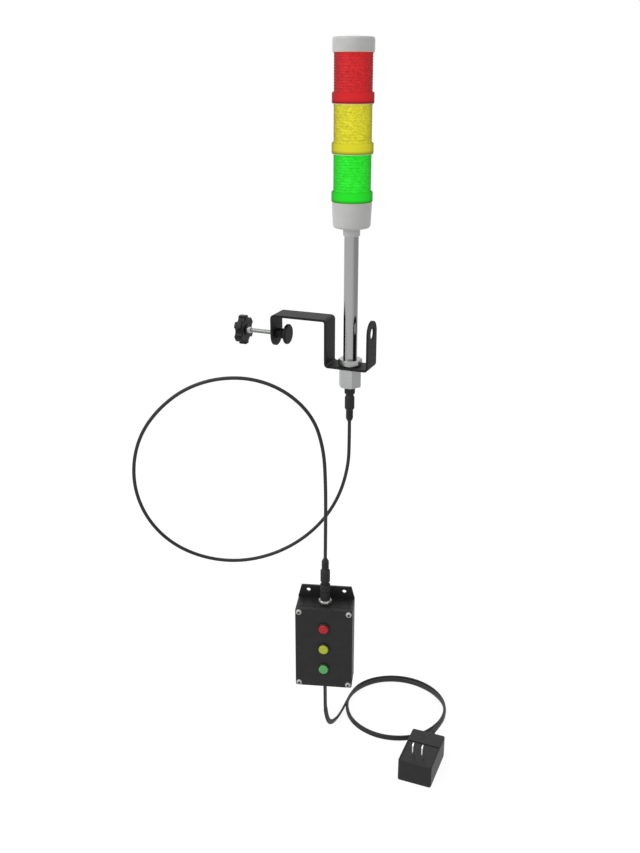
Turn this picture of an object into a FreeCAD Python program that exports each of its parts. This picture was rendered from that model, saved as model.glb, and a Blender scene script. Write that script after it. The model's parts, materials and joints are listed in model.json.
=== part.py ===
import FreeCAD, Part
import math
import os
import re
import Sketcher
from FreeCAD import Placement, Rotation, Vector

# Stack light on a clamp bracket, with its push-button box, leads and wall adapter.
# Millimetres. Origin: middle of the bracket's underside, where it sits on a panel edge.
# +Z up along the pole, +X from the clamp knob towards the pole.

doc = FreeCAD.newDocument("StackLight")
dims = doc.addObject("Spreadsheet::Sheet", "Dims")

SIZES = [
    # folded strip bracket
    ("strip_width", 32.0),
    ("strip_thickness", 3.0),
    ("bend_inside", 2.5),
    ("jaw_opening", 72.0),
    ("pocket_width", 54.0),
    ("bracket_height", 63.2),
    ("clamp_leg_drop", 41.0),
    ("clamp_axis_drop", 25.0),
    ("up_leg_rise", 3.5),
    ("side_hole_diameter", 16.0),
    ("side_hole_drop", 13.0),
    ("hole_gap", 0.2),
    ("fit_gap", 0.1),
    # clamp screw
    ("rod_diameter", 5.8),
    ("rod_length", 68.4),
    ("boss_diameter", 13.6),
    ("boss_length", 8.0),
    ("pad_diameter", 26.4),
    ("pad_thickness", 3.2),
    ("pad_hub_diameter", 12.6),
    ("pad_hub_length", 4.2),
    ("pad_facing", 1.2),
    ("pad_back_gap", 0.3),
    ("knob_thickness", 11.0),
    ("knob_diameter", 39.0),
    ("lobe_count", 6),
    ("scallop_diameter", 12.4),
    ("scallop_circle", 42.0),
    ("knob_hub_diameter", 15.0),
    ("knob_hub_length", 1.2),
    ("insert_diameter", 8.2),
    ("insert_reach", 5.0),
    ("knob_edge", 1.5),
    ("knob_back", 1.0),
    # pole and the fixings at its foot
    ("pole_diameter", 18.0),
    ("pole_wall", 2.0),
    ("pole_rise", 165.2),
    ("pole_spigot", 9.0),
    ("pole_engage", 12.0),
    ("washer_diameter", 24.6),
    ("washer_thickness", 1.0),
    ("nut_flats", 27.5),
    ("nut_height", 7.6),
    ("nut_chamfer", 1.5),
    ("coupling_flats", 26.0),
    ("coupling_length", 24.5),
    ("coupling_chamfer", 0.8),
    ("socket_gap", 1.0),
    ("wire_diameter", 1.2),
    ("wire_offset", 2.0),
    # lamp column
    ("collar_diameter", 21.2),
    ("collar_height", 10.0),
    ("collar_bevel", 0.8),
    ("base_bottom_diameter", 46.0),
    ("base_top_diameter", 48.8),
    ("base_height", 31.5),
    ("base_round", 4.0),
    ("base_wall", 2.5),
    ("base_post", 12.0),
    ("tier_height", 56.5),
    ("ring_diameter", 50.0),
    ("ring_height", 12.5),
    ("ring_bevel", 0.8),
    ("lens_diameter", 46.0),
    ("lens_wall", 2.2),
    ("lens_land", 1.0),
    ("rib_pitch", 3.15),
    ("rib_depth", 0.6),
    ("spigot_height", 4.0),
    ("spigot_wall", 1.2),
    ("seal_thickness", 0.8),
    ("seal_lip", 1.4),
    ("deck_thickness", 2.0),
    ("deck_hole_diameter", 9.0),
    ("cap_diameter", 49.4),
    ("cap_height", 16.0),
    ("cap_round", 3.0),
    ("cap_wall", 2.5),
    ("led_board_width", 27.0),
    ("led_board_height", 40.0),
    ("board_thickness", 1.6),
    ("led_size", 3.5),
    ("led_height", 1.6),
    ("led_rows", 4),
    ("led_columns", 2),
    ("led_pitch", 9.0),
    ("base_board_diameter", 36.0),
    # round plugs of the signal lead
    ("barrel_diameter", 11.8),
    ("barrel_length", 8.5),
    ("barrel_shank_diameter", 11.0),
    ("plug_nut_diameter", 13.8),
    ("plug_nut_length", 10.5),
    ("plug_nut_lip", 1.5),
    ("plug_neck_diameter", 10.4),
    ("plug_grip_diameter", 12.8),
    ("plug_grip_start", 14.5),
    ("plug_grip_length", 16.5),
    ("plug_shoulder", 1.2),
    ("relief_diameter", 9.7),
    ("relief_length", 12.0),
    ("relief_taper", 4.5),
    ("lead_diameter", 4.6),
    # push-button box
    ("box_across", 60.0),
    ("box_out", 70.0),
    ("box_drop", 372.0),
    ("box_turn", 15.5),
    ("box_width", 77.0),
    ("box_height", 120.5),
    ("box_depth", 36.5),
    ("box_wall", 2.5),
    ("box_corner", 3.0),
    ("cover_depth", 7.0),
    ("gasket_thickness", 0.8),
    ("flange_reach", 17.0),
    ("flange_thickness", 3.0),
    ("flange_taper", 4.5),
    ("flange_hole_diameter", 5.6),
    ("flange_hole_spread", 48.6),
    ("flange_hole_reach", 10.0),
    ("screw_inset", 5.1),
    ("screw_diameter", 3.8),
    ("screw_length", 16.0),
    ("screw_head_diameter", 8.0),
    ("screw_head_height", 2.4),
    ("screw_socket_diameter", 3.2),
    ("post_diameter", 7.4),
    ("button_pitch", 31.5),
    ("button_drop", 60.0),
    ("button_diameter", 12.8),
    ("button_proud", 4.2),
    ("button_length", 11.0),
    ("button_dome", 1.0),
    ("button_travel", 2.5),
    ("stem_diameter", 4.0),
    ("stem_length", 7.0),
    ("bezel_diameter", 16.8),
    ("bezel_proud", 2.0),
    ("bezel_wall", 0.9),
    ("bezel_length", 12.0),
    ("button_nut_diameter", 20.0),
    ("button_nut_thickness", 3.0),
    ("switch_size", 15.0),
    ("switch_depth", 12.0),
    ("board_margin", 9.0),
    ("board_post_diameter", 6.0),
    ("socket_body_diameter", 13.6),
    ("socket_body_length", 12.9),
    ("socket_reach", 6.0),
    ("socket_gasket_diameter", 17.0),
    ("socket_gasket_height", 2.5),
    ("socket_nut_flats", 15.6),
    ("socket_nut_chamfer", 1.0),
    ("socket_nut_height", 3.6),
    ("grommet_diameter", 12.0),
    ("grommet_flange", 2.0),
    ("grommet_length", 7.0),
    ("grommet_end_diameter", 7.0),
    # flat power lead and wall adapter
    ("power_lead_diameter", 4.8),
    ("adapter_across", 206.5),
    ("adapter_out", 85.7),
    ("floor_drop", 586.0),
    ("adapter_width", 45.8),
    ("adapter_length", 69.5),
    ("adapter_height", 33.0),
    ("adapter_split", 14.0),
    ("adapter_wall", 2.4),
    ("adapter_corner", 3.0),
    ("carrier_length", 41.0),
    ("carrier_thickness", 4.0),
    ("carrier_step", 0.8),
    ("carrier_lip", 2.2),
    ("blade_spacing", 12.7),
    ("blade_width", 6.35),
    ("blade_thickness", 1.5),
    ("blade_reach", 21.0),
    ("blade_place", 14.2),
    ("blade_tip", 1.6),
    ("adapter_exit_height", 15.7),
    ("adapter_relief_length", 22.0),
    ("adapter_relief_diameter", 9.0),
    ("adapter_relief_end", 6.4),
    ("adapter_board_height", 6.0),
]

names = set()
for row, (alias, value) in enumerate(SIZES, start=1):
    dims.set("A%d" % row, alias)
    dims.set("B%d" % row, str(value))
    dims.setAlias("B%d" % row, alias)
    names.add(alias)
doc.recompute()

parts = []


# ---- expressions and sketches ----

def linked(text):
    """The expression with each size's name pointed at the sheet."""
    return re.sub(r"[a-z][a-z_]+", lambda m: "Dims." + m.group(0) if m.group(0) in names else m.group(0), str(text))


def size(text):
    return float(dims.evalExpression(linked(text)))


def newBody(label, place=None):
    body = doc.addObject("PartDesign::Body", label)
    body.Label = label
    if place is not None:
        body.Placement = place
    parts.append(body)
    return body


def newSketch(body, role="XZ_Plane", lift="0"):
    """A sketch on one of the body's own origin planes, moved along its normal by lift."""
    sketch = body.newObject("Sketcher::SketchObject", body.Label + "_sketch")
    plane = [feature for feature in body.Origin.OriginFeatures if feature.Role == role][0]
    sketch.AttachmentSupport = [(plane, "")]
    sketch.MapMode = "FlatFace"
    sketch.AttachmentOffset = Placement(Vector(0, 0, size(lift)), Rotation())
    sketch.setExpression("AttachmentOffset.Base.z", linked(lift))
    return sketch


def fixPoint(sketch, geometry, end, across, up):
    for kind, text in (("DistanceX", across), ("DistanceY", up)):
        number = sketch.addConstraint(Sketcher.Constraint(kind, -1, 1, geometry, end, size(text)))
        sketch.setExpression("Constraints[%d]" % number, linked(text))


def outline(sketch, points):
    """A closed outline through points given as pairs of expressions."""
    corners = [Vector(size(across), size(up), 0) for across, up in points]
    first = sketch.GeometryCount
    count = len(corners)
    for i in range(count):
        sketch.addGeometry(Part.LineSegment(corners[i], corners[(i + 1) % count]), False)
    for i in range(count):
        sketch.addConstraint(Sketcher.Constraint("Coincident", first + i, 2, first + (i + 1) % count, 1))
    for i, (across, up) in enumerate(points):
        fixPoint(sketch, first + i, 1, across, up)


def rectangle(sketch, left, bottom, right, top):
    outline(sketch, [(left, bottom), (right, bottom), (right, top), (left, top)])


def circle(sketch, across, up, radius):
    middle = Vector(size(across), size(up), 0)
    geometry = sketch.addGeometry(Part.Circle(middle, Vector(0, 0, 1), size(radius)), False)
    fixPoint(sketch, geometry, 3, across, up)
    number = sketch.addConstraint(Sketcher.Constraint("Radius", geometry, size(radius)))
    sketch.setExpression("Constraints[%d]" % number, linked(radius))


# ---- features ----

def pad(body, sketch, length, middle=False, back=False):
    feature = body.newObject("PartDesign::Pad", body.Label + "_pad")
    feature.Profile = sketch
    feature.Length = size(length)
    feature.setExpression("Length", linked(length))
    feature.Midplane = middle
    feature.Reversed = back
    doc.recompute()
    return feature


def pocket(body, sketch, length, middle=False, back=False):
    """A cut of the given length; it has to take material away."""
    before = body.Shape.Volume
    feature = body.newObject("PartDesign::Pocket", body.Label + "_pocket")
    feature.Profile = sketch
    feature.Length = size(length)
    feature.setExpression("Length", linked(length))
    feature.Midplane = middle
    feature.Reversed = back
    doc.recompute()
    if body.Shape.Volume >= before - 0.01:
        raise RuntimeError("a pocket cuts nothing in " + body.Label)
    return feature


def turned(body, points, role="XZ_Plane"):
    """A full turn of an outline about the body's own Z axis."""
    sketch = newSketch(body, role)
    outline(sketch, points)
    feature = body.newObject("PartDesign::Revolution", body.Label + "_turn")
    feature.Profile = sketch
    feature.ReferenceAxis = (sketch, ["V_Axis"])
    feature.Angle = 360
    doc.recompute()
    return feature


def polar(body, feature, count):
    pattern = body.newObject("PartDesign::PolarPattern", body.Label + "_pattern")
    pattern.Originals = [feature]
    pattern.Axis = ([f for f in body.Origin.OriginFeatures if f.Role == "Z_Axis"][0], [""])
    pattern.Angle = 360
    pattern.Occurrences = int(size(count))
    pattern.setExpression("Occurrences", linked(count))
    body.Tip = pattern
    doc.recompute()
    return pattern


def edgesWhere(body, wanted):
    """Names of the edges of the body's last feature whose middle and run pass the test."""
    found = []
    for i, edge in enumerate(body.Tip.Shape.Edges, start=1):
        middle = edge.valueAt((edge.FirstParameter + edge.LastParameter) / 2)
        run = edge.Vertexes[-1].Point - edge.Vertexes[0].Point
        if wanted(edge, middle, run):
            found.append("Edge%d" % i)
    return found


def rounded(body, radius, wanted, bevel=False):
    kind = "PartDesign::Chamfer" if bevel else "PartDesign::Fillet"
    base = body.Tip
    feature = body.newObject(kind, body.Label + "_edge")
    feature.Base = (base, edgesWhereOf(base, wanted))
    prop = "Size" if bevel else "Radius"
    setattr(feature, prop, size(radius))
    feature.setExpression(prop, linked(radius))
    doc.recompute()
    return feature


def edgesWhereOf(feature, wanted):
    found = []
    for i, edge in enumerate(feature.Shape.Edges, start=1):
        middle = edge.valueAt((edge.FirstParameter + edge.LastParameter) / 2)
        run = edge.Vertexes[-1].Point - edge.Vertexes[0].Point
        if wanted(edge, middle, run):
            found.append("Edge%d" % i)
    return found


def near(a, b, slack=0.02):
    return abs(a - b) < slack


def group(label, shapes, place=None):
    """Several like solids in one node."""
    feature = doc.addObject("Part::Feature", label)
    feature.Shape = Part.makeCompound(shapes)
    feature.Label = label
    if place is not None:
        feature.Placement = place
    parts.append(feature)
    return feature


def hexBlock(label, flats, height, bore, place, vertexTurn, chamfer):
    """A hexagon with turned-down corners and a bore, as a nut or a coupling has."""
    prism = doc.addObject("Part::Prism", label + "_prism")
    prism.Polygon = 6
    prism.setExpression("Circumradius", linked("(%s)/sqrt(3)" % flats))
    prism.setExpression("Height", linked(height))
    prism.Placement = Placement(Vector(), Rotation(Vector(0, 0, 1), vertexTurn))
    corner = "((%s)/sqrt(3))" % flats
    envelope = doc.addObject("PartDesign::Body", label + "_envelope")
    turned(envelope, [(bore, "0"), (corner + " - %s*1.2" % chamfer, "0"), (corner, chamfer + "*0.7"),
                      (corner, "(%s) - %s*0.7" % (height, chamfer)), (corner + " - %s*1.2" % chamfer, height),
                      (bore, height)])
    block = doc.addObject("Part::Common", label)
    block.Base = prism
    block.Tool = envelope
    block.Label = label
    block.Placement = place
    doc.recompute()
    parts.append(block)
    return block


# ---- heights along the pole ----

PLATE_BOTTOM = "(strip_thickness - bracket_height)"
PLATE_TOP = "(2*strip_thickness - bracket_height)"
COLLAR_BOTTOM = "(%s + pole_rise)" % PLATE_TOP
BASE_BOTTOM = "(%s + collar_height)" % COLLAR_BOTTOM
BASE_TOP = "(%s + base_height)" % BASE_BOTTOM
COUPLING_TOP = "(%s - washer_thickness)" % PLATE_BOTTOM
COUPLING_BOTTOM = "(%s - coupling_length)" % COUPLING_TOP
SOCKET_TOP = "(coupling_length - pole_engage - socket_gap)"
POLE_X = "(jaw_opening/2 + strip_thickness + pocket_width/2)"
POLE_R = "pole_diameter/2"
SPIGOT_R = "(lens_diameter/2 - lens_wall + spigot_wall)"
LENS_IN = "(lens_diameter/2 - lens_wall)"
SEAT_H = "(spigot_height + deck_thickness)"


def onPole(height):
    return Placement(Vector(size(POLE_X), 0, size(height)), Rotation())


# ---- bracket ----

def makeBracket():
    body = newBody("bracket")
    sketch = newSketch(body)
    clampIn = "-jaw_opening/2"
    clampOut = "(-jaw_opening/2 - strip_thickness)"
    jaw = "jaw_opening/2"
    pocketLeft = "(jaw_opening/2 + strip_thickness)"
    pocketRight = "(jaw_opening/2 + strip_thickness + pocket_width)"
    upOut = "(jaw_opening/2 + 2*strip_thickness + pocket_width)"
    outline(sketch, [
        (clampOut, "-clamp_leg_drop"), (clampOut, "strip_thickness"), (pocketLeft, "strip_thickness"),
        (pocketLeft, PLATE_TOP), (pocketRight, PLATE_TOP), (pocketRight, "up_leg_rise"),
        (upOut, "up_leg_rise"), (upOut, PLATE_BOTTOM), (jaw, PLATE_BOTTOM), (jaw, "0"),
        (clampIn, "0"), (clampIn, "-clamp_leg_drop")])
    pad(body, sketch, "strip_width", middle=True)
    half = size("strip_width/2")
    ends = (size("-clamp_leg_drop"), size("up_leg_rise"))
    rounded(body, "strip_width/2 - 0.05",
            lambda edge, mid, run: near(abs(mid.y), half) and any(near(mid.z, z) for z in ends)
            and abs(run.x) > 1)
    outer = [(clampOut, "strip_thickness"), (pocketLeft, "strip_thickness"), (upOut, PLATE_BOTTOM),
             (jaw, PLATE_BOTTOM)]
    inner = [(clampIn, "0"), (jaw, "0"), (pocketLeft, PLATE_TOP), (pocketRight, PLATE_TOP)]
    for corners, radius in ((outer, "bend_inside + strip_thickness"), (inner, "bend_inside")):
        places = [(size(x), size(z)) for x, z in corners]
        rounded(body, radius,
                lambda edge, mid, run: abs(run.y) > 1 and any(near(mid.x, x) and near(mid.z, z) for x, z in places))
    plateHole = newSketch(body, "XY_Plane", PLATE_BOTTOM)
    circle(plateHole, POLE_X, "0", "pole_diameter/2 + hole_gap")
    pocket(body, plateHole, "4*strip_thickness", middle=True)
    sideHole = newSketch(body, "YZ_Plane", pocketRight)
    circle(sideHole, "0", "-side_hole_drop", "side_hole_diameter/2")
    pocket(body, sideHole, "4*strip_thickness", middle=True)
    screwHole = newSketch(body, "YZ_Plane", clampIn)
    circle(screwHole, "0", "-clamp_axis_drop", "rod_diameter/2 + hole_gap")
    pocket(body, screwHole, "4*strip_thickness", middle=True)


# ---- clamp screw: pieces turned about X, built about Z and laid over ----

def onClamp(across):
    return Placement(Vector(size(across), 0, size("-clamp_axis_drop")), Rotation(Vector(0, 1, 0), 90))


PAD_BACK = "(-jaw_opening/2 + boss_length + pad_back_gap)"
ROD_START = "(%s + pad_hub_length + pad_thickness - 1.5 - rod_length)" % PAD_BACK


def makeClamp():
    rod = "rod_diameter/2"
    boss = newBody("clamp_boss", onClamp("-jaw_opening/2"))
    turned(boss, [(rod + " + fit_gap", "0"), ("boss_diameter/2", "0"), ("boss_diameter/2", "boss_length - 0.6"),
                  ("boss_diameter/2 - 0.6", "boss_length"), (rod + " + fit_gap", "boss_length")])

    hub = "pad_hub_length"
    pad_ = newBody("clamp_pad", onClamp(PAD_BACK))
    turned(pad_, [
        (rod + " + fit_gap", "0"), ("pad_hub_diameter/2", "0"), ("pad_hub_diameter/2", hub),
        ("pad_diameter/2 - 1", hub), ("pad_diameter/2", hub + " + 1"),
        ("pad_diameter/2", hub + " + pad_thickness"), ("0", hub + " + pad_thickness"),
        ("0", hub + " + pad_thickness - 1.4"), (rod + " + fit_gap", hub + " + pad_thickness - 1.4")])
    facing = newBody("pad_facing", onClamp(PAD_BACK + " + pad_hub_length + pad_thickness"))
    turned(facing, [("0", "0"), ("pad_diameter/2 - 0.8", "0"), ("pad_diameter/2 - 0.8", "pad_facing - 0.4"),
                    ("pad_diameter/2 - 1.2", "pad_facing"), ("0", "pad_facing")])

    shaft = newBody("clamp_rod", onClamp(ROD_START))
    face = "(knob_thickness + knob_hub_length - knob_back)"
    turned(shaft, [("0", "0"), (rod + " - 0.5", "0"), (rod, "0.5"), (rod, face), ("insert_diameter/2", face),
                   ("insert_diameter/2", face + " + insert_reach"), (rod, face + " + insert_reach"),
                   (rod, "rod_length - 0.5"), (rod + " - 0.5", "rod_length"), ("0", "rod_length")])

    knob = newBody("clamp_knob", onClamp(ROD_START + " - knob_back"))
    disc = newSketch(knob, "XY_Plane")
    circle(disc, "0", "0", "knob_diameter/2")
    pad(knob, disc, "knob_thickness")
    scallop = newSketch(knob, "XY_Plane")
    circle(scallop, "-scallop_circle/2*cos(180/lobe_count)", "scallop_circle/2*sin(180/lobe_count)",
           "scallop_diameter/2")
    polar(knob, pocket(knob, scallop, "3*knob_thickness", middle=True), "lobe_count")
    ends = (0.0, size("knob_thickness"))
    rounded(knob, "knob_edge", lambda edge, mid, run: any(near(mid.z, z) for z in ends))
    neck = newSketch(knob, "XY_Plane", "knob_thickness")
    circle(neck, "0", "0", "knob_hub_diameter/2")
    pad(knob, neck, "knob_hub_length")
    bore = newSketch(knob, "XY_Plane", "knob_back")
    circle(bore, "0", "0", rod + " + fit_gap/2")
    pocket(knob, bore, "knob_thickness + knob_hub_length", back=True)


# ---- pole, nut, washers and coupling ----

def makePole():
    pole = newBody("pole", onPole(COUPLING_TOP + " - pole_engage"))
    length = "(%s + pole_spigot - %s + pole_engage)" % (BASE_BOTTOM, COUPLING_TOP)
    inside = "(pole_diameter/2 - pole_wall)"
    turned(pole, [(inside, "0"), (POLE_R + " - 0.5", "0"), (POLE_R, "0.5"), (POLE_R, length), (inside, length)])
    for label, height in (("upper_washer", PLATE_TOP), ("lower_washer", COUPLING_TOP)):
        washer = newBody(label, onPole(height))
        turned(washer, [(POLE_R + " + fit_gap", "0"), ("washer_diameter/2", "0"),
                        ("washer_diameter/2", "washer_thickness"), (POLE_R + " + fit_gap", "washer_thickness")])
    hexBlock("lock_nut", "nut_flats", "nut_height", POLE_R + " + fit_gap",
             onPole(PLATE_TOP + " + washer_thickness"), 30, "nut_chamfer")
    hexBlock("hex_coupling", "coupling_flats", "coupling_length", "barrel_shank_diameter/2 + fit_gap",
             onPole(COUPLING_BOTTOM), 0, "coupling_chamfer")
    coupling = parts.pop()
    seat = doc.addObject("Part::Cylinder", "coupling_seat")
    seat.setExpression("Radius", linked(POLE_R + " + fit_gap"))
    seat.setExpression("Height", linked("pole_engage"))
    seat.Placement = onPole(COUPLING_TOP + " - pole_engage")
    bored = doc.addObject("Part::Cut", "hex_coupling_bored")
    bored.Base = coupling
    bored.Tool = seat
    coupling.Label = "hex_coupling_blank"
    bored.Label = "hex_coupling"
    parts.append(bored)
    makeSocket("light_socket", onPole(COUPLING_BOTTOM), SOCKET_TOP, "0")
    wires = []
    reach = size("%s + base_wall + base_post - %s - %s" % (BASE_BOTTOM, COUPLING_BOTTOM, SOCKET_TOP))
    for x, y in ((1, 1), (1, -1), (-1, 1), (-1, -1)):
        foot = Vector(x * size("wire_offset"), y * size("wire_offset"), 0)
        wires.append(Part.makeCylinder(size("wire_diameter/2"), reach, foot))
    group("pole_wires", wires, onPole(COUPLING_BOTTOM + " + " + SOCKET_TOP))


def makeSocket(label, place, top, start, body="0"):
    """A threaded barrel for a round plug: barrel below, shoulder or wide body above, then the shank."""
    socket = newBody(label, place)
    points = [("0", "-barrel_length"), ("barrel_diameter/2 - 0.5", "-barrel_length"),
              ("barrel_diameter/2", "-barrel_length + 0.5"), ("barrel_diameter/2", start)]
    if body != "0":
        points += [("socket_body_diameter/2", start), ("socket_body_diameter/2", body)]
    points += [("barrel_shank_diameter/2", body), ("barrel_shank_diameter/2", top), ("0", top)]
    turned(socket, points)


# ---- lamp column ----

def seatPoints(radius):
    """The recess at the foot of a ring, where the spigot below and its deck go in."""
    return [(SPIGOT_R + " + fit_gap", "0"), (SPIGOT_R + " + fit_gap", radius)]


def spigotPoints(top):
    """The outline over the top of a shell: seal land, spigot, then down inside."""
    return [(SPIGOT_R, top), (SPIGOT_R, top + " + seal_thickness + spigot_height"),
            (LENS_IN, top + " + seal_thickness + spigot_height")]


def makeLamp():
    collar = newBody("pole_collar", onPole(COLLAR_BOTTOM))
    collarR = "collar_diameter/2"
    turned(collar, [(POLE_R + " + fit_gap", "0"), (collarR + " - collar_bevel", "0"), (collarR, "collar_bevel"),
                    (collarR, "collar_height"), (POLE_R + " + fit_gap", "collar_height")])

    base = newBody("lamp_base", onPole(BASE_BOTTOM))
    top = "(base_height - seal_thickness)"
    bottomR = "base_bottom_diameter/2"
    post = "(pole_diameter/2 + base_wall + fit_gap)"
    turned(base, [
        (POLE_R + " + fit_gap", "0"), (bottomR, "0"), ("base_top_diameter/2", top)] + spigotPoints(top) + [
        (LENS_IN, "base_wall + base_round"), (LENS_IN + " - base_round", "base_wall"),
        (post, "base_wall"), (post, "base_wall + base_post"),
        (POLE_R + " + fit_gap", "base_wall + base_post")])
    rim = size(bottomR)
    rounded(base, "base_round", lambda edge, mid, run: near(mid.z, 0) and near(math.hypot(mid.x, mid.y), rim))

    board = newBody("base_board", onPole(BASE_BOTTOM + " + base_wall + base_post"))
    turned(board, [("0", "0"), ("base_board_diameter/2", "0"), ("base_board_diameter/2", "board_thickness"),
                   ("0", "board_thickness")])

    for number, colour in enumerate(("green", "yellow", "red")):
        makeTier(colour, "(%s + %d*tier_height)" % (BASE_TOP, number))

    cap = newBody("top_cap", onPole(BASE_TOP + " + 3*tier_height"))
    turned(cap, seatPoints("spigot_height")[::-1] + [
        ("cap_diameter/2", "0"), ("cap_diameter/2", "cap_height"), ("0", "cap_height"),
        ("0", "cap_height - cap_wall"), (LENS_IN, "cap_height - cap_wall"), (LENS_IN, "spigot_height")])
    rimZ = size("cap_height")
    rimR = size("cap_diameter/2")
    rounded(cap, "cap_round", lambda edge, mid, run: near(mid.z, rimZ) and near(math.hypot(mid.x, mid.y), rimR))

    seals = []
    inner = size(SPIGOT_R + " + fit_gap")
    outer = size("lens_diameter/2 + seal_lip")
    for number in range(4):
        foot = Vector(0, 0, size("%s + %d*tier_height - seal_thickness" % (BASE_TOP, number)))
        ring = Part.makeCylinder(outer, size("seal_thickness"), foot)
        seals.append(ring.cut(Part.makeCylinder(inner, size("seal_thickness"), foot)))
    group("tier_seals", seals, Placement(Vector(size(POLE_X), 0, 0), Rotation()))


def makeTier(colour, foot):
    """One lit tier: a ribbed lens with its ring, the deck it stands on, board and emitters."""
    lens = newBody("lens_" + colour, onPole(foot))
    top = "(tier_height - seal_thickness)"
    ringR = "ring_diameter/2"
    lensR = "lens_diameter/2"
    points = seatPoints(SEAT_H)[::-1] + [
        (ringR + " - ring_bevel", "0"), (ringR, "ring_bevel"), (ringR, "ring_height - ring_bevel"),
        (ringR + " - ring_bevel", "ring_height"), (lensR, "ring_height")]
    ribCount = int(size("(%s - ring_height - 2*lens_land)/rib_pitch" % top))
    for rib in range(ribCount):
        start = "ring_height + lens_land + %d*rib_pitch" % rib
        points.append((lensR, start))
        points.append((lensR + " - rib_depth", start + " + rib_pitch/2"))
    points.append((lensR, "ring_height + lens_land + %d*rib_pitch" % ribCount))
    points.append((lensR, top))
    points += spigotPoints(top)
    points.append((LENS_IN, SEAT_H))
    turned(lens, points)

    deckFoot = "(%s + spigot_height)" % foot
    deck = newBody("led_deck_" + colour, onPole(deckFoot))
    turned(deck, [("deck_hole_diameter/2", "0"), (SPIGOT_R, "0"), (SPIGOT_R, "deck_thickness"),
                  ("deck_hole_diameter/2", "deck_thickness")])

    board = doc.addObject("Part::Box", "led_board_" + colour)
    board.Label = "led_board_" + colour
    board.setExpression("Length", linked("led_board_width"))
    board.setExpression("Width", linked("board_thickness"))
    board.setExpression("Height", linked("led_board_height"))
    corner = Vector(size(POLE_X + " - led_board_width/2"), size("-board_thickness/2"),
                    size(deckFoot + " + deck_thickness"))
    board.Placement = Placement(corner, Rotation())
    parts.append(board)

    emitters = []
    side = size("led_size")
    for row in range(int(size("led_rows"))):
        for column in range(int(size("led_columns"))):
            for face in (-1, 1):
                middle = (column - size("(led_columns - 1)/2")) * size("led_pitch")
                up = size("deck_thickness + led_board_height/2") + (row - size("(led_rows - 1)/2")) * size("led_pitch")
                out = size("board_thickness/2") if face > 0 else -size("board_thickness/2 + led_height")
                emitters.append(Part.makeBox(side, size("led_height"), side,
                                             Vector(middle - side / 2, out, up - side / 2)))
    group("leds_" + colour, emitters, onPole(deckFoot))


# ---- round plugs ----

def makePlug(prefix, place):
    """The plug's collar nut and its moulded body; local -Z runs from the socket to the lead."""
    nut = newBody(prefix + "_plug_nut", place)
    inside = "barrel_diameter/2 + fit_gap"
    lip = "plug_neck_diameter/2 + fit_gap"
    turned(nut, [
        (inside, "0"), ("plug_nut_diameter/2 - 0.6", "0"), ("plug_nut_diameter/2", "-0.6"),
        ("plug_nut_diameter/2", "-plug_nut_length + 0.6"), ("plug_nut_diameter/2 - 0.6", "-plug_nut_length"),
        (lip, "-plug_nut_length"), (lip, "plug_nut_lip - plug_nut_length"),
        (inside, "plug_nut_lip - plug_nut_length")])

    body = newBody(prefix + "_plug_body", place)
    neck = "plug_neck_diameter/2"
    grip = "plug_grip_diameter/2"
    relief = "relief_diameter/2"
    gripEnd = "-plug_grip_start - plug_grip_length"
    reliefEnd = gripEnd + " - plug_shoulder - relief_length"
    turned(body, [
        ("0", "-barrel_length"), (neck, "-barrel_length"), (neck, "-plug_grip_start + plug_shoulder"),
        (grip, "-plug_grip_start"), (grip, gripEnd), (relief, gripEnd + " - plug_shoulder"),
        (relief, reliefEnd), (relief + " - 1.1", reliefEnd + " - relief_taper/2"),
        ("lead_diameter/2 + 0.2", reliefEnd + " - relief_taper"), ("0", reliefEnd + " - relief_taper")])


# ---- push-button box ----

def onBox(across, out, up, turn=None):
    """A place in the box's own frame: middle of its top face, X to its right, -Y to its front."""
    box = Placement(Vector(size("box_across"), size("-box_out"), size("-box_drop")),
                    Rotation(Vector(0, 0, 1), size("box_turn")))
    return box.multiply(Placement(Vector(size(across), size(out), size(up)), turn or Rotation()))


FRONT = "(-box_depth/2)"
SOCKET_SEAT = "(socket_gasket_height + socket_nut_height)"
SEAM = "(-box_depth/2 + cover_depth)"
SCREW_X = "(box_width/2 - screw_inset)"
SCREW_PLACES = [("-" + SCREW_X, "-screw_inset"), (SCREW_X, "-screw_inset"),
                ("-" + SCREW_X, "screw_inset - box_height"), (SCREW_X, "screw_inset - box_height")]
BOARD_BACK = "(%s + bezel_length + switch_depth + board_thickness)" % FRONT
BOARD_X = "(box_width/2 - board_margin - board_post_diameter/2)"
BOARD_LOW = "(board_margin + board_post_diameter/2 - box_height)"
BOARD_PLACES = [("-" + BOARD_X, "-board_margin - board_post_diameter/2"),
                (BOARD_X, "-board_margin - board_post_diameter/2"),
                ("-" + BOARD_X, BOARD_LOW), (BOARD_X, BOARD_LOW)]


def alongY(edge, mid, run):
    return abs(run.y) > 0.5 and abs(run.x) < 0.01 and abs(run.z) < 0.01


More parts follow.
